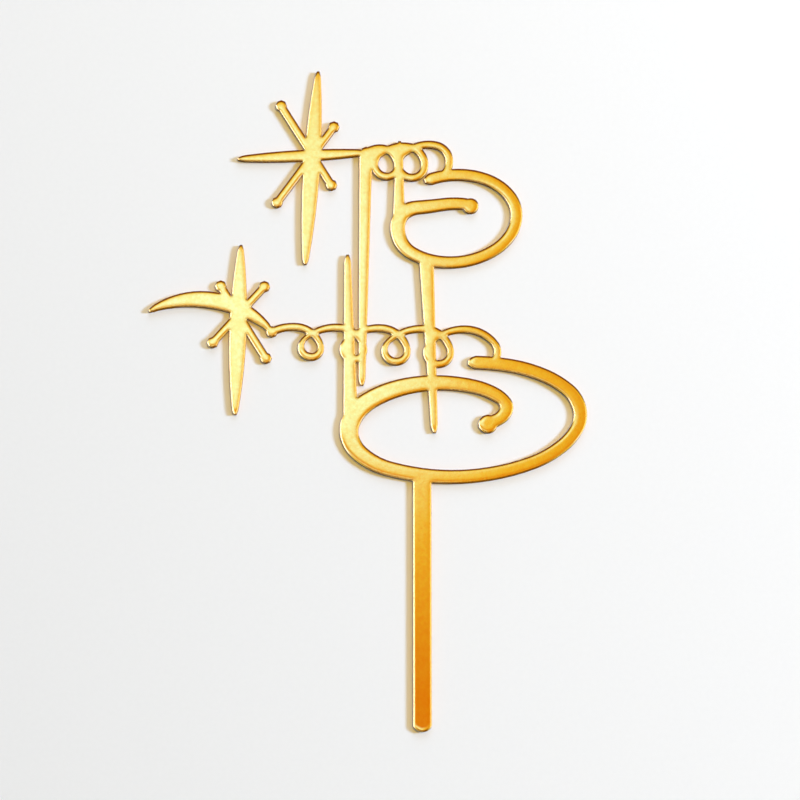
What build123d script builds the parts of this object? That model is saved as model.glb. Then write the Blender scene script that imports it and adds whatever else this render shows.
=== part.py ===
from build123d import *
import os
from math import atan, ceil, cos, degrees, exp, floor, pi, radians, sin, sqrt, tan

# Cake topper cut from one gold mirror sheet. Sizes in mm, angles in degrees.
# It stands upright: the stake runs up +Z from its tip at the origin, the shiny face looks to -Y.

# The sheet, front to back
acrylic_thickness = 1.0
mirror_thickness = 0.1
paint_thickness = 0.1

# Stake pushed into the cake
stake_width = 4.5
stake_length = 63.0
stake_tip_rise = 1.4
stake_scroll_angle = -104.0

# Lower scroll
lower_half_width = 29.4
lower_half_height = 14.3
lower_lean_share = 0.18
lower_lead_angle = 88.0
lower_curl_angle = -135.0
lower_end_angle = -374.0
lower_settle_angle = -374.0
lower_curl_power = 1.35
lower_eye_width_share = 0.24
lower_eye_height_share = 0.33
lower_light_stroke = 3.3
lower_heavy_stroke = 4.7
lower_ball = 4.6

# Upper scroll, set above the lower one
tier_rise = 50.8
tier_shift = 1.6
upper_half_width = 15.6
upper_half_height = 11.2
upper_lean_share = 0.10
upper_lead_angle = 116.0
upper_curl_angle = -130.0
upper_end_angle = -304.0
upper_settle_angle = -240.0
upper_curl_power = 1.2
upper_eye_width_share = 0.44
upper_eye_height_share = 0.34
upper_light_stroke = 2.9
upper_heavy_stroke = 3.7
upper_ball = 3.9

# Both scrolls: the stroke swells on the left
heavy_angle = -185.0
heavy_spread = 60.0

# Upper burst, set from the middle of the upper scroll
upper_burst_left = 35.4
upper_burst_rise = 16.2
upper_ray_up = 21.6
upper_ray_down = 28.0
upper_ray_left = 18.8
upper_ray_right = 13.4
upper_ray_width = 4.1
upper_bar_width = 2.9
upper_ray_lean = 86.5
upper_bar_lean = 3.0
upper_steep_angle = 122.0
upper_steep_left = 15.0
upper_steep_right = 9.0
upper_flat_angle = 54.0
upper_flat_left = 15.0
upper_flat_right = 9.0

# Lower burst, set from the middle of the lower scroll
lower_burst_left = 55.2
lower_burst_rise = 26.4
lower_ray_up = 17.6
lower_ray_down = 25.2
lower_ray_width = 4.2
lower_ray_lean = 88.5
lower_sweep_left = 22.3
lower_sweep_right = 8.3
lower_sweep_fall = 4.4
lower_sweep_rise = 0.8
lower_sweep_bulge = 5.4
lower_sweep_width = 4.2
lower_steep_angle = 122.0
lower_steep_left = 8.5
lower_steep_right = 13.0
lower_flat_angle = 48.0
lower_flat_left = 9.5
lower_flat_right = 9.5

# Details shared by both bursts: faceted beads end the small rays
ray_tip = 1.7
small_ray_width = 1.9
bead = 2.8
bead_sides = 8

# Curled streamers from the bursts to the scrolls
curl_stroke = 1.9
curl_height = 8.4
curl_reach_share = 0.44
curl_slant = 10.0
curl_growth_share = 0.12
upper_curls = 2
lower_curls = 4
curl_leave_share = 0.33
curl_land_share = 0.88
upper_land_angle = 106.0
lower_land_angle = 80.0

# Posts between the tiers: straight strips that taper to a free end
post_tip = 1.7
long_post_width = 3.2
long_post_share = 0.42
long_post_overrun = 6.5
short_post_width = 3.0
short_post_share = 0.54
short_post_overrun = 9.0
side_post_width = 3.6
side_post_height = 42.0
side_post_shift = -0.9
side_post_angle = -178.0
drop_post_width = 3.6
drop_post_top_angle = -112.0
drop_post_arm_angle = -246.0
drop_post_overrun = 12.5

# Blunt stroke ends: their length as a share of their width, and how they narrow on the way
tip_length_share = 1.2
lead_length_share = 0.55
tip_waist_share = 0.5
tip_waist_width_share = 0.78
tip_nose_width_share = 0.36

# Windows between strokes smaller than this square are left uncut
least_window_side = 1.25

# How finely the curves are drawn
scroll_spans = 12
curl_spans = 1
slope_step = 0.001


def toward(angle):
    """Unit direction at an angle from +X."""
    return Vector(cos(radians(angle)), sin(radians(angle)))


def along(line, at):
    """Unit direction of travel on a curve."""
    return (line(at + slope_step) - line(at - slope_step)).normalized()


def across(direction):
    """Unit direction square to another, to its left."""
    return Vector(-direction.Y, direction.X)


def biarc(start, start_way, end, end_way):
    """Two arcs, smooth where they meet, from one point and direction to another."""
    gap = end - start
    forward = gap.dot(start_way + end_way)
    turn = 2 * (1 - start_way.dot(end_way))
    reach = gap.dot(gap) / (forward + sqrt(forward ** 2 + turn * gap.dot(gap)))
    start_arm = start + start_way * reach
    end_arm = end - end_way * reach
    meeting = (start_arm + end_arm) / 2
    meeting_way = end_arm - start_arm
    return [TangentArc(start, meeting, tangent=start_way), TangentArc(meeting, end, tangent=meeting_way)]


def smooth(line, stops):
    """Chain of arcs along a curve, true to its place and direction at each stop."""
    edges = []
    for here, there in zip(stops, stops[1:]):
        way = 1 if there > here else -1
        edges += biarc(line(here), along(line, here) * way, line(there), along(line, there) * way)
    return edges


def tip(shoulder, end, far_shoulder):
    """Blunt end of a stroke, from one shoulder round its nose to the other."""
    middle = (shoulder + far_shoulder) / 2
    waist = middle + (end - middle) * tip_waist_share
    waist_side = (shoulder - middle) * tip_waist_width_share
    nose_side = (shoulder - middle) * tip_nose_width_share
    corners = [waist + waist_side, end + nose_side, end - nose_side, waist - waist_side]
    return Polyline(shoulder, *corners, far_shoulder)


def ribbon(line, half_stroke, start, end, spans, blunt_start=False):
    """Pen stroke of changing width along a curve, cut square at its end and square or blunt at its start."""
    def left(at):
        return line(at) + across(along(line, at)) * half_stroke(at)

    def right(at):
        return line(at) - across(along(line, at)) * half_stroke(at)

    stops = [start + (end - start) * span / spans for span in range(spans + 1)]
    start_cap = Line(right(start), left(start))
    if blunt_start:
        back = along(line, start) if start > end else along(line, start) * -1
        nose = line(start) + back * half_stroke(start) * 2 * lead_length_share
        start_cap = tip(right(start), nose, left(start))
    edges = smooth(left, stops) + [Line(left(end), right(end))] + smooth(right, stops[::-1]) + [start_cap]
    return make_face(edges)


def brush(start, end, width, start_tip, end_tip, bulge=0.0):
    """Brush stroke between two points: widest half way, bowed to its left by the bulge."""
    chord = end - start
    side = across(chord.normalized())
    middle = (start + end) / 2 + side * bulge
    half_turn = degrees(2 * atan(2 * bulge / chord.length))
    start_way = chord.normalized().rotate(Axis.Z, half_turn)
    end_way = chord.normalized().rotate(Axis.Z, -half_turn)
    start_shoulder = start + start_way * start_tip * tip_length_share
    end_shoulder = end - end_way * end_tip * tip_length_share
    start_side = across(start_way) * start_tip / 2
    end_side = across(end_way) * end_tip / 2
    edges = [
        ThreePointArc(start_shoulder + start_side, middle + side * width / 2, end_shoulder + end_side),
        tip(end_shoulder + end_side, end, end_shoulder - end_side),
        ThreePointArc(end_shoulder - end_side, middle - side * width / 2, start_shoulder - start_side),
        tip(start_shoulder - start_side, start, start_shoulder + start_side),
    ]
    return make_face(edges)


def post(landing, end, landing_width, tip_width):
    """Straight strip that tapers from the stroke it lands on to a blunt free end."""
    direction = (end - landing).normalized()
    shoulder = end - direction * tip_width * tip_length_share
    landing_side = across(direction) * landing_width / 2
    tip_side = across(direction) * tip_width / 2
    free_end = tip(shoulder + tip_side, end, shoulder - tip_side)
    strip = Polyline(shoulder - tip_side, landing - landing_side, landing + landing_side, shoulder + tip_side)
    return make_face([free_end, strip])


def small_ray(start, end):
    """Straight ray from one bead to another."""
    side = across((end - start).normalized()) * small_ray_width / 2
    return make_face(Polyline(start + side, end + side, end - side, start - side, close=True))


def disc(centre, diameter):
    return Pos(centre.X, centre.Y) * Circle(diameter / 2)


def faceted_bead(centre):
    return Pos(centre.X, centre.Y) * RegularPolygon(bead / 2, bead_sides)


class Scroll:
    """Oval stroke that runs clockwise from a lead at the top and curls into its own eye."""

    def __init__(self, half_width, half_height, lean_share, curl_angles, power, eye_shares, light, heavy):
        self.half_width = half_width
        self.half_height = half_height
        self.lean_share = lean_share
        self.curl_angle, self.settle_angle, self.end_angle = curl_angles
        self.power = power
        self.eye_width_share, self.eye_height_share = eye_shares
        self.light = light
        self.heavy = heavy
        self.centre = Vector(0, 0)

    def offset(self, angle):
        """Point on the middle of the stroke, from the middle of the scroll."""
        curl_share = max((self.curl_angle - angle) / (self.curl_angle - self.end_angle), 0)
        width_share = 1 - (1 - self.eye_width_share) * curl_share ** self.power
        sink_share = min(max((self.curl_angle - angle) / (self.curl_angle - self.settle_angle), 0), 1)
        height_share = 1 - (1 - self.eye_height_share) * sink_share ** 2 * (3 - 2 * sink_share)
        rise = self.half_height * height_share * sin(radians(angle))
        run = self.half_width * width_share * cos(radians(angle)) + self.lean_share * rise
        return Vector(run, rise)

    def point(self, angle):
        return self.centre + self.offset(angle)

    def half_stroke(self, angle):
        swell_share = exp(-((angle - heavy_angle) / heavy_spread) ** 2)
        return (self.light + (self.heavy - self.light) * swell_share) / 2

    def faces(self, lead_angle, ball):
        return [
            ribbon(self.point, self.half_stroke, lead_angle, self.end_angle, scroll_spans, blunt_start=True),
            disc(self.point(self.end_angle), ball),
        ]


class Streamer:
    """Row of curls between two points, each curl a little larger than the last."""

    def __init__(self, start, end, curls):
        self.leave = 2 * pi * curl_leave_share
        self.land = 2 * pi * (curls + curl_land_share)
        self.pitch = (end - start).length / (self.land - self.leave) * 2 * pi
        self.level = (end - start).normalized()
        self.base_start = start - self.curl(self.leave)
        self.base_end = end - self.curl(self.land)

    def along_share(self, turn):
        return (turn - self.leave) / (self.land - self.leave)

    def curl(self, turn):
        """Sideways and upward swing of the curl about its base line."""
        size_share = 1 + curl_growth_share * (2 * self.along_share(turn) - 1)
        rise = curl_height / 2 * (1 - cos(turn)) * size_share
        run = tan(radians(curl_slant)) * rise - curl_reach_share * self.pitch * sin(turn) * size_share
        return self.level * run + across(self.level) * rise

    def base(self, share):
        return self.base_start + (self.base_end - self.base_start) * share

    def point(self, turn):
        return self.base(self.along_share(turn)) + self.curl(turn)

    def half_stroke(self, turn):
        return curl_stroke / 2

    def faces(self):
        """One ribbon for each half turn, so that no ribbon crosses itself."""
        bends = range(floor(self.leave / pi) + 1, ceil(self.land / pi))
        stops = [self.leave] + [bend * pi for bend in bends] + [self.land]
        return [ribbon(self.point, self.half_stroke, a, b, curl_spans) for a, b in zip(stops, stops[1:])]


# Lower scroll stands on the stake, upper scroll above it
lower_scroll = Scroll(
    lower_half_width, lower_half_height, lower_lean_share,
    (lower_curl_angle, lower_settle_angle, lower_end_angle), lower_curl_power,
    (lower_eye_width_share, lower_eye_height_share), lower_light_stroke, lower_heavy_stroke,
)
lower_scroll.centre = Vector(0, stake_length) - lower_scroll.offset(stake_scroll_angle)
upper_scroll = Scroll(
    upper_half_width, upper_half_height, upper_lean_share,
    (upper_curl_angle, upper_settle_angle, upper_end_angle), upper_curl_power,
    (upper_eye_width_share, upper_eye_height_share), upper_light_stroke, upper_heavy_stroke,
)
upper_scroll.centre = lower_scroll.centre + Vector(-tier_shift, tier_rise)

# Upper burst: two long brush rays and four beaded ones
upper_burst = upper_scroll.centre + Vector(-upper_burst_left, upper_burst_rise)
upper_bar_end = upper_burst + toward(upper_bar_lean) * upper_ray_right
upper_steep_start = upper_burst + toward(upper_steep_angle) * upper_steep_left
upper_steep_end = upper_burst - toward(upper_steep_angle) * upper_steep_right
upper_flat_start = upper_burst - toward(upper_flat_angle) * upper_flat_left
upper_flat_end = upper_burst + toward(upper_flat_angle) * upper_flat_right
upper_burst_faces = [
    brush(
        upper_burst - toward(upper_ray_lean) * upper_ray_down,
        upper_burst + toward(upper_ray_lean) * upper_ray_up,
        upper_ray_width, ray_tip, ray_tip,
    ),
    brush(
        upper_burst - toward(upper_bar_lean) * upper_ray_left, upper_bar_end,
        upper_bar_width, ray_tip, small_ray_width,
    ),
    small_ray(upper_steep_start, upper_steep_end),
    small_ray(upper_flat_start, upper_flat_end),
]
upper_beads = [upper_bar_end, upper_steep_start, upper_steep_end, upper_flat_start, upper_flat_end]

# Lower burst: one upright ray, one bowed sweep and four beaded rays
lower_burst = lower_scroll.centre + Vector(-lower_burst_left, lower_burst_rise)
lower_sweep_start = lower_burst + Vector(-lower_sweep_left, lower_sweep_rise)
lower_sweep_end = lower_burst + Vector(lower_sweep_right, -lower_sweep_fall)
lower_steep_start = lower_burst + toward(lower_steep_angle) * lower_steep_left
lower_steep_end = lower_burst - toward(lower_steep_angle) * lower_steep_right
lower_flat_start = lower_burst - toward(lower_flat_angle) * lower_flat_left
lower_flat_end = lower_burst + toward(lower_flat_angle) * lower_flat_right
lower_burst_faces = [
    brush(
        lower_burst - toward(lower_ray_lean) * lower_ray_down,
        lower_burst + toward(lower_ray_lean) * lower_ray_up,
        lower_ray_width, ray_tip, ray_tip,
    ),
    brush(
        lower_sweep_start, lower_sweep_end,
        lower_sweep_width, ray_tip, small_ray_width, lower_sweep_bulge,
    ),
    small_ray(lower_steep_start, lower_steep_end),
    small_ray(lower_flat_start, lower_flat_end),
]
lower_beads = [lower_sweep_end, lower_steep_start, lower_steep_end, lower_flat_start, lower_flat_end]

# Streamers leave the last bead of a burst and land on the scroll
upper_streamer = Streamer(upper_bar_end, upper_scroll.point(upper_land_angle), upper_curls)
lower_streamer = Streamer(lower_sweep_end, lower_scroll.point(lower_land_angle), lower_curls)

# Posts tie the two tiers together
long_post_end = lower_streamer.base(long_post_share) - Vector(0, long_post_overrun)
short_post_end = upper_streamer.base(short_post_share) + Vector(0, short_post_overrun)
side_post_landing = lower_scroll.point(side_post_angle)
side_post_end = side_post_landing + Vector(side_post_shift, side_post_height)
drop_post_landing = upper_scroll.point(drop_post_top_angle)
drop_post_way = (lower_scroll.point(drop_post_arm_angle) - drop_post_landing).normalized()
drop_post_end = lower_scroll.point(drop_post_arm_angle) + drop_post_way * drop_post_overrun
post_faces = [
    post(upper_bar_end, long_post_end, long_post_width, post_tip),
    post(upper_scroll.point(side_post_angle), short_post_end, short_post_width, post_tip),
    post(side_post_landing, side_post_end, side_post_width, post_tip),
    post(drop_post_landing, drop_post_end, drop_post_width, post_tip),
]

# Stake: a straight strip with a rounded tip, up to the middle of the scroll stroke
stake_half = stake_width / 2
stake_edges = [
    Line((-stake_half, stake_tip_rise), (-stake_half, stake_length)),
    Line((-stake_half, stake_length), (stake_half, stake_length)),
    Line((stake_half, stake_length), (stake_half, stake_tip_rise)),
    ThreePointArc((stake_half, stake_tip_rise), (0, 0), (-stake_half, stake_tip_rise)),
]
stake_face = make_face(stake_edges)

# One cut outline, shared by every layer of the sheet
strokes = lower_scroll.faces(lower_lead_angle, lower_ball)
strokes += upper_scroll.faces(upper_lead_angle, upper_ball)
strokes += upper_burst_faces + lower_burst_faces
strokes += [faceted_bead(place) for place in upper_beads + lower_beads]
strokes += upper_streamer.faces() + lower_streamer.faces()
strokes += post_faces + [stake_face]
joined = (strokes[0] + strokes[1:]).face()
windows = [wire for wire in joined.inner_wires() if Face(wire).area > least_window_side ** 2]
outline = Sketch() + Face(joined.outer_wire(), windows)

# Layers, from the back to the front
sheet_thickness = acrylic_thickness + mirror_thickness + paint_thickness
paint_start = -sheet_thickness / 2
mirror_start = paint_start + paint_thickness
acrylic_start = mirror_start + mirror_thickness


def layer(start, thickness):
    """One layer of the sheet, its depth measured toward the shiny face."""
    return extrude(Plane.XZ.offset(start) * outline, amount=thickness)


os.makedirs("parts", exist_ok=True)
export_step(layer(acrylic_start, acrylic_thickness), "parts/acrylic_sheet.step")
export_step(layer(mirror_start, mirror_thickness), "parts/mirror_coat.step")
export_step(layer(paint_start, paint_thickness), "parts/back_paint.step")
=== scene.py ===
"""Looks for a flat mirror-gold cake topper that lies face up on a pale tabletop."""
import math

import bpy
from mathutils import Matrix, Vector


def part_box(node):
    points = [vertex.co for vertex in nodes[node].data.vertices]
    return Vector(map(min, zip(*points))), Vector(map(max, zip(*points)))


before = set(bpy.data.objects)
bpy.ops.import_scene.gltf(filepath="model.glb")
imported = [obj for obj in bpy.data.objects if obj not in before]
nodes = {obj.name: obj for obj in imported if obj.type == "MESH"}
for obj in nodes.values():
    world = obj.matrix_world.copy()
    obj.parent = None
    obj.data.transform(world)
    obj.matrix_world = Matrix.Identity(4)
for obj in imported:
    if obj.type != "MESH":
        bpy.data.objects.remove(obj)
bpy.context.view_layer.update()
scene = bpy.context.scene
scene.view_settings.view_transform = "Standard"

MM = 0.001
sheet_low, sheet_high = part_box("acrylic_sheet")
_, paint_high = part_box("back_paint")

# The photograph's framing: what the lens looks at, how wide it sees there, and from how far below.
aim = Vector((-5.5 * MM, 0.0, 81.8 * MM))
field_width = 198 * MM
lens_mm = 135.0
sensor_mm = 36.0
camera_elevation = math.radians(-9)
camera_distance = field_width * lens_mm / sensor_mm

# The tabletop lies just behind the back paint and fades out between two distances from its middle.
table_gap = 0.05 * MM
table_half = 320 * MM
table_fade = (190 * MM, 310 * MM)

# How far in from its cut edges the sheet's face is rounded, and how far in it is slightly domed.
rim = 0.8 * MM
dome = 1.9 * MM
dome_share = 0.14

# How far in from the cut edges the back paint is scorched.
scorch = 0.6 * MM

# The height of the finest bumps, and how strongly the face and the paint show them.
bump_height = 0.02 * MM
face_bump = 0.12
paint_bump = 0.3

# The face: how much of its mottle is large clouds, how far the slow ripple outweighs the grain, how
# rough it is where it is clear and where it is hazy, how much rougher the walls are, and its coat.
cloud_share = 0.4
ripple_gain = 4.0
face_roughness = (0.05, 0.09)
wall_roughness = 0.4
face_coat = 0.25

# A surface is cut wall below this span of its normal's Y part, and the sheet's face above it.
facing_span = (0.25, 0.75)

# Where marks along the edges set in, as spans of the cosine between the rounded and the true normal,
# and how strong the marks on the face become.
# The pale rim is partly the frosted cut edge and partly a painted highlight of light glowing along the
# edges.
pale_rim = (0.985, 0.91)
pale_rim_share = 0.85
# The dark rim is partly laser scorch and partly painted shade along the edges.
scorch_and_shade_rim = (0.86, 0.75)
scorch_and_shade_rim_share = 0.94
scorched_edge = (0.985, 0.85)

# Most of a noise pattern's values lie in these spans.
noise_span = (0.3, 0.7)
fine_noise_span = (0.25, 0.75)
mottle_span = (0.36, 0.64)

# Colours are linear red, green and blue.
gold = {
    "deep": (1.0, 0.525, 0.052),
    "bright": (1.0, 0.60, 0.082),
    # Pale rim: partly the frosted cut edge, partly a painted highlight of light glowing along it.
    "rim": (1.0, 0.84, 0.60),
    # Partly laser scorch, partly painted shade along the edges.
    "scorch_and_shade": (0.17, 0.05, 0.008),
    "cut_front": (0.62, 0.24, 0.03),
    "cut_back": (0.20, 0.06, 0.01),
}
film = {"dull": (0.62, 0.45, 0.2), "bright": (0.8, 0.62, 0.32)}
paint = {
    "dark": (0.21, 0.205, 0.20),
    "pale": (0.27, 0.265, 0.26),
    "stripe": (0.32, 0.315, 0.305),
    "speck": (0.40, 0.39, 0.37),
    "scuff": (0.50, 0.49, 0.47),
    "scorched": (0.11, 0.065, 0.035),
}
table_white = {"dark": (0.88, 0.885, 0.89), "pale": (0.91, 0.915, 0.92)}

# The studio: what the lens sees behind the table, the light from all around, and what the mirror sees.
studio = {
    "seen": (0.93, 0.935, 0.94),
    "ambient": (0.20, 0.19, 0.15),
    "room": (0.93, 0.95, 0.28),
    "shade": (0.73, 0.33, 0.012),
    "card": (1.0, 1.78, 5.6),
    "far_shade": (0.75, 0.40, 0.02),
    "far_card": (1.0, 1.7, 3.8),
    "left_end": (4.5, 4.6, 4.2),
    "right_end": (2.5, 2.0, 1.2),
    "above": (0.22, 0.07, 0.02),
    "below": (0.58, 0.23, 0.04),
    "deep_below": (0.02, 0.008, 0.004),
    "floor_left": (1.2, 1.0, 0.5),
    "floor_right": (0.75, 0.42, 0.03),
}

# The part of the front lamps' light that passes through the acrylic and tints its shadows.
amber = Vector((0.56, 0.36, 0.05))


class Nodes:
    """Short calls for filling one node tree."""

    def __init__(self, tree):
        self.tree = tree
        tree.nodes.clear()

    def add(self, kind, inputs=None, **settings):
        node = self.tree.nodes.new("ShaderNode" + kind)
        for name, value in settings.items():
            setattr(node, name, value)
        for name, value in (inputs or {}).items():
            self.put(node.inputs[name], value)
        return node

    def put(self, socket, value):
        if isinstance(value, bpy.types.NodeSocket):
            self.tree.links.new(value, socket)
        elif socket.type == "RGBA":
            socket.default_value = (*value, 1.0)
        else:
            socket.default_value = value

    def place(self):
        return self.add("TexCoord").outputs["Object"]

    def true_normal(self):
        return self.add("NewGeometry").outputs["True Normal"]

    def soft_normal(self, radius):
        """The normal as it would be if the edges were rounded to this radius."""
        return self.add("Bevel", {"Radius": radius}, samples=8).outputs["Normal"]

    def parts(self, vector):
        return self.add("SeparateXYZ", {"Vector": vector}).outputs

    def math(self, operation, first, second=0.0):
        return self.add("Math", {0: first, 1: second}, operation=operation).outputs[0]

    def times(self, first, second):
        return self.math("MULTIPLY", first, second)

    def larger(self, first, second):
        return self.math("MAXIMUM", first, second)

    def vector(self, operation, *values, output="Vector", **named):
        inputs = dict(enumerate(values)) | named
        return self.add("VectorMath", inputs, operation=operation).outputs[output]

    def ramp(self, value, span, to=(0.0, 1.0)):
        """A smooth change from one result to another while the value goes along the span."""
        node = self.add("MapRange", {"Value": value}, interpolation_type="SMOOTHSTEP")
        for name, limit in zip(("From Min", "From Max", "To Min", "To Max"), (*span, *to)):
            self.put(node.inputs[name], limit)
        return node.outputs["Result"]

    def band(self, value, rise, fall):
        """1 between two fades and 0 outside them."""
        return self.times(self.ramp(value, rise), self.ramp(value, fall))

    def mix(self, share, first, second, kind="RGBA"):
        node = self.add("Mix", {0: share}, data_type=kind)
        pair = [socket for socket in node.inputs if socket.type == kind][-2:]
        self.put(pair[0], first)
        self.put(pair[1], second)
        return next(socket for socket in node.outputs if socket.type == kind)

    def noise(self, place, scale, detail=2.0, roughness=0.5):
        """Noise with this many cells to each unit of the place, a metre unless it is stretched."""
        inputs = {"Vector": place, "Scale": scale, "Detail": detail, "Roughness": roughness}
        return self.add("TexNoise", inputs).outputs["Fac"]

    def streaks(self, place, turn, crosswise, lengthwise, detail):
        """Noise drawn out into streaks, with cells to the metre across them and along them."""
        stretch = {"Rotation": (0.0, turn, 0.0), "Scale": (crosswise, 1.0, lengthwise)}
        drawn_out = self.add("Mapping", {"Vector": place} | stretch)
        return self.noise(drawn_out.outputs["Vector"], scale=1.0, detail=detail)

    def bump(self, height, strength, **inputs):
        settings = {"Strength": strength, "Distance": bump_height, "Height": height}
        return self.add("Bump", settings | inputs).outputs["Normal"]

    def principled(self, inputs):
        return self.add("BsdfPrincipled", inputs).outputs[0]

    def mix_shader(self, share, first, second):
        return self.add("MixShader", {0: share, 1: first, 2: second}).outputs[0]

    def finish(self, shader, output="Material"):
        self.add("Output" + output, {"Surface": shader})


def new_material(name):
    """A new material and the calls that fill its node tree."""
    material = bpy.data.materials.new(name)
    material.use_nodes = True
    return material, Nodes(material.node_tree)


def face_colour(n, place, upright):
    """Gold in faint clouds and mottles, paler at the rim: partly frosted edge, partly painted
    highlight.
    """
    cloud = n.noise(place, scale=160.0, detail=4.0, roughness=0.6)
    fine = n.noise(place, scale=1100.0, detail=3.0)
    mottle = n.math("ADD", n.times(cloud, cloud_share), n.times(fine, 1.0 - cloud_share))
    face = n.mix(n.ramp(mottle, mottle_span), gold["deep"], gold["bright"])
    # Paler towards the rim: partly frosted edge, partly a painted highlight.
    return n.mix(n.ramp(upright, pale_rim, to=(0.0, pale_rim_share)), face, gold["rim"])


def wall_colour(n, place):
    """Amber that darkens from the sheet's front to its back."""
    depth = n.ramp(n.parts(place)["Y"], (sheet_low.y, sheet_high.y))
    return n.mix(depth, gold["cut_front"], gold["cut_back"])


def curved_normal(n, normal, rounded, wall):
    """The rounded normal with the slight dome added; the walls keep their own."""
    lift = n.vector("SUBTRACT", n.soft_normal(dome), normal)
    domed = n.vector("ADD", rounded, n.vector("SCALE", lift, Scale=dome_share))
    return n.vector("NORMALIZE", n.mix(wall, domed, normal, "VECTOR"))


def gold_acrylic():
    """Gold-tinted mirror acrylic: a hazy mirror face with softly rounded rims, and amber cut walls."""
    material, n = new_material("gold_acrylic")
    place = n.place()
    normal = n.true_normal()
    rounded = n.soft_normal(rim)
    upright = n.vector("DOT_PRODUCT", rounded, normal, output="Value")
    wall = n.ramp(n.math("ABSOLUTE", n.parts(normal)["Y"]), facing_span, to=(1.0, 0.0))
    face = n.math("SUBTRACT", 1.0, wall)
    grain = n.noise(place, scale=2600.0, roughness=0.6)
    haze = n.ramp(grain, fine_noise_span, to=face_roughness)
    ripple = n.math("ADD", n.times(n.noise(place, scale=90.0, detail=1.0), ripple_gain), grain)
    bumped = n.bump(ripple, face_bump, Normal=curved_normal(n, normal, rounded, wall))
    colour = n.mix(wall, face_colour(n, place, upright), wall_colour(n, place))
    # Partly laser scorch, partly painted shade: the outermost rim darkens to brown.
    scorch_and_shade = n.ramp(upright, scorch_and_shade_rim, to=(0.0, scorch_and_shade_rim_share))
    looks = {
        "Base Color": n.mix(scorch_and_shade, colour, gold["scorch_and_shade"]),
        "Metallic": face,
        "Roughness": n.math("ADD", haze, n.times(wall, wall_roughness)),
        "Specular IOR Level": 0.0,
        "Coat Weight": n.times(face, face_coat),
        "Coat Roughness": 0.03,
        "Normal": bumped,
        "Coat Normal": bumped,
    }
    n.finish(n.principled(looks))
    return material


def mirror_coat():
    """The thin bright metal layer behind the acrylic."""
    material, n = new_material("mirror_coat")
    cloud = n.noise(n.place(), scale=400.0, detail=3.0)
    looks = {
        "Base Color": n.mix(cloud, film["dull"], film["bright"]),
        "Metallic": 1.0,
        "Roughness": n.ramp(cloud, noise_span, to=(0.15, 0.3)),
    }
    n.finish(n.principled(looks))
    return material


def back_paint():
    """Matte grey paint that seals the mirror: roller stripes, specks, scuffs and scorched edges."""
    material, n = new_material("back_paint")
    place = n.place()
    cloud = n.noise(place, scale=70.0, detail=5.0, roughness=0.6)
    speck = n.noise(place, scale=3800.0, roughness=0.7)
    stripe = n.streaks(place, turn=0.06, crosswise=1400.0, lengthwise=25.0, detail=3.0)
    scuff = n.streaks(place, turn=0.7, crosswise=2200.0, lengthwise=45.0, detail=1.0)
    upright = n.vector("DOT_PRODUCT", n.soft_normal(scorch), n.true_normal(), output="Value")
    marks = [
        ("stripe", stripe, (0.35, 0.65), 0.45),
        ("speck", speck, (0.62, 0.78), 0.4),
        ("scuff", scuff, (0.70, 0.76), 0.55),
        ("scorched", upright, scorched_edge, 0.8),
    ]
    tone = n.mix(n.ramp(cloud, noise_span), paint["dark"], paint["pale"])
    for name, pattern, span, strength in marks:
        tone = n.mix(n.ramp(pattern, span, to=(0.0, strength)), tone, paint[name])
    looks = {
        "Base Color": tone,
        "Roughness": n.ramp(cloud, noise_span, to=(0.48, 0.66)),
        "Normal": n.bump(n.math("ADD", speck, stripe), paint_bump),
    }
    n.finish(n.principled(looks))
    return material


def tabletop():
    """White matte tabletop that is clear far from the topper, from behind and when seen edge-on."""
    material, n = new_material("tabletop")
    place = n.place()
    grain = n.noise(place, scale=900.0, detail=3.0)
    looks = {
        "Base Color": n.mix(grain, table_white["dark"], table_white["pale"]),
        "Roughness": n.ramp(grain, noise_span, to=(0.6, 0.7)),
        "Specular IOR Level": 0.1,
    }
    far = n.ramp(n.vector("LENGTH", place, output="Value"), table_fade)
    edge_on = n.ramp(n.add("LayerWeight", {"Blend": 0.5}).outputs["Facing"], (0.92, 0.98))
    behind = n.larger(edge_on, n.add("NewGeometry").outputs["Backfacing"])
    clear = n.add("BsdfTransparent").outputs[0]
    n.finish(n.mix_shader(n.larger(far, behind), n.principled(looks), clear))
    return material


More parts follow.
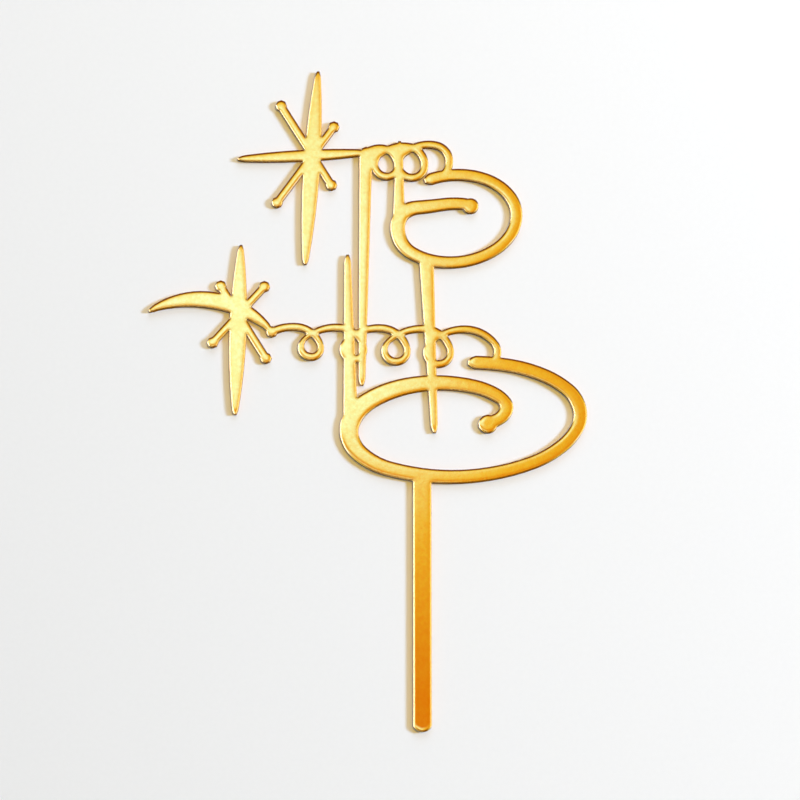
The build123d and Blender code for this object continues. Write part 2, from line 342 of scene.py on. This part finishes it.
def mirrored_room(n):
    """What the mirror sees: a warm pale room that is bright at both ends and dark above and below.

    A cool card hangs left of the lens in two strips, and amber shade lies right of it and between
    the strips. Another card and shade stand on both sides, and a lit floor lies deep below.
    """
    direction = n.add("TexCoord").outputs["Generated"]
    axes = n.parts(direction)
    across, up = axes["X"], axes["Z"]
    sideways = n.math("ABSOLUTE", across)
    folded = n.add("CombineXYZ", {"X": sideways, "Y": axes["Y"], "Z": up}).outputs[0]

    def spot(middle, reach):
        """1 at the middle of a round patch, 0 from its edge on, and the same on the other side."""
        apart = n.vector("DISTANCE", folded, Vector(middle).normalized(), output="Value")
        return n.ramp(apart, (0.0, reach), to=(1.0, 0.0))

    left = n.band(across, (0.033, -0.012), (-0.38, -0.2))
    high_strip = n.band(up, (0.115, 0.155), (0.33, 0.19))
    low_strip = n.band(up, (-0.10, -0.055), (0.03, -0.02))
    low_shade = n.band(up, (0.15, 0.05), (-0.02, 0.04))
    right_shade = n.ramp(across, (0.01, 0.08), to=(0.0, 0.6))
    near = n.ramp(sideways, (0.4, 0.2))
    middle = n.ramp(sideways, (0.58, 0.35))
    layers = {
        "shade": n.times(n.larger(low_shade, right_shade), near),
        "card": n.larger(n.times(left, high_strip), n.times(left, low_strip)),
        "far_shade": spot((0.59, -0.63, -0.50), reach=0.16),
        "far_card": spot((0.70, -0.62, -0.35), reach=0.17),
        "left_end": n.ramp(across, (-0.76, -0.92)),
        "right_end": n.ramp(across, (0.76, 0.92)),
        "above": n.ramp(up, (0.34, 0.56)),
        "below": n.times(middle, n.ramp(up, (-0.1, -0.32))),
        "deep_below": n.times(middle, n.ramp(up, (-0.32, -0.56))),
    }
    room = studio["room"]
    for name, share in layers.items():
        room = n.mix(share, room, studio[name])
    floor = n.mix(n.ramp(across, (-0.08, 0.08)), studio["floor_left"], studio["floor_right"])
    floor_share = n.times(n.ramp(up, (-0.74, -0.84)), n.ramp(axes["Y"], (-0.26, -0.38)))
    return n.mix(floor_share, room, floor)


def studio_world():
    """A pale backdrop for the lens, a room for the mirror and a soft even light for all the rest."""
    world = bpy.data.worlds.new("studio")
    world.use_nodes = True
    n = Nodes(world.node_tree)

    def background(colour):
        return n.add("Background", {"Color": colour, "Strength": 1.0}).outputs[0]

    path = n.add("LightPath").outputs
    shiny = n.larger(path["Is Glossy Ray"], path["Is Transmission Ray"])
    lit = n.mix_shader(shiny, background(studio["ambient"]), background(mirrored_room(n)))
    n.finish(n.mix_shader(path["Is Camera Ray"], lit, background(studio["seen"])), "World")
    scene.world = world


def area_lamp(name, place, size, power, colour):
    """A square lamp that stands at a place measured from the aim, and points at the aim."""
    light = bpy.data.lights.new(name, "AREA")
    light.size = size
    light.energy = power
    light.color = colour
    lamp = bpy.data.objects.new(name, light)
    lamp.location = aim + Vector(place)
    lamp.rotation_euler = (-Vector(place)).to_track_quat("-Z", "Y").to_euler()
    scene.collection.objects.link(lamp)
    return lamp


def clear_pieces():
    """The pieces that don't block a lamp's amber part, as a collection for light linking."""
    pieces = bpy.data.collections.new("lets_amber_light_through")
    pieces.objects.link(nodes["acrylic_sheet"])
    for link in pieces.collection_objects:
        link.light_linking.link_state = "EXCLUDE"
    return pieces


def tinting_lamp(name, passed, colour, **settings):
    """A lamp in two: its amber part shines through the passed pieces, so their shadows are tinted."""
    plain = area_lamp(name, colour=Vector(colour) - amber, **settings)
    through = area_lamp(name + "_through_amber", colour=amber, **settings)
    through.light_linking.blocker_collection = passed
    for lamp in (plain, through):
        lamp.visible_glossy = False


def lay_table():
    """A square tabletop just behind the part, which throws no shadow and no soft light on it."""
    mesh = bpy.data.meshes.new("tabletop")
    corners = [(-1, -1), (1, -1), (1, 1), (-1, 1)]
    mesh.from_pydata([(x * table_half, 0.0, z * table_half) for x, z in corners], [], [(0, 1, 2, 3)])
    mesh.materials.append(tabletop())
    table = bpy.data.objects.new("tabletop", mesh)
    table.location = (aim.x, paint_high.y + table_gap, aim.z)
    table.visible_shadow = False
    table.visible_diffuse = False
    scene.collection.objects.link(table)
    return table


def place_camera():
    """The camera at the photograph's viewing angle."""
    lens = bpy.data.cameras.new("camera")
    lens.lens = lens_mm
    lens.sensor_width = sensor_mm
    camera = bpy.data.objects.new("camera", lens)
    away = Vector((0.0, -math.cos(camera_elevation), math.sin(camera_elevation)))
    camera.location = aim + away * camera_distance
    camera.rotation_euler = (-away).to_track_quat("-Z", "Y").to_euler()
    scene.collection.objects.link(camera)
    scene.camera = camera


finishes = {"acrylic_sheet": gold_acrylic, "mirror_coat": mirror_coat, "back_paint": back_paint}
for name, make in finishes.items():
    nodes[name].data.materials.clear()
    nodes[name].data.materials.append(make())

table_thing = lay_table()

studio_world()
passed = clear_pieces()
tinting_lamp("key", passed, (0.99, 1.01, 1.07), place=(1.8, -1.2, 0.15), size=0.45, power=53.0)
tinting_lamp("top", passed, (1.0, 0.99, 0.97), place=(0.2, -0.7, 1.1), size=0.8, power=7.5)
area_lamp("back", place=(-0.5, 1.2, 0.6), size=1.0, power=30.0, colour=(1.0, 1.0, 1.0))
place_camera()
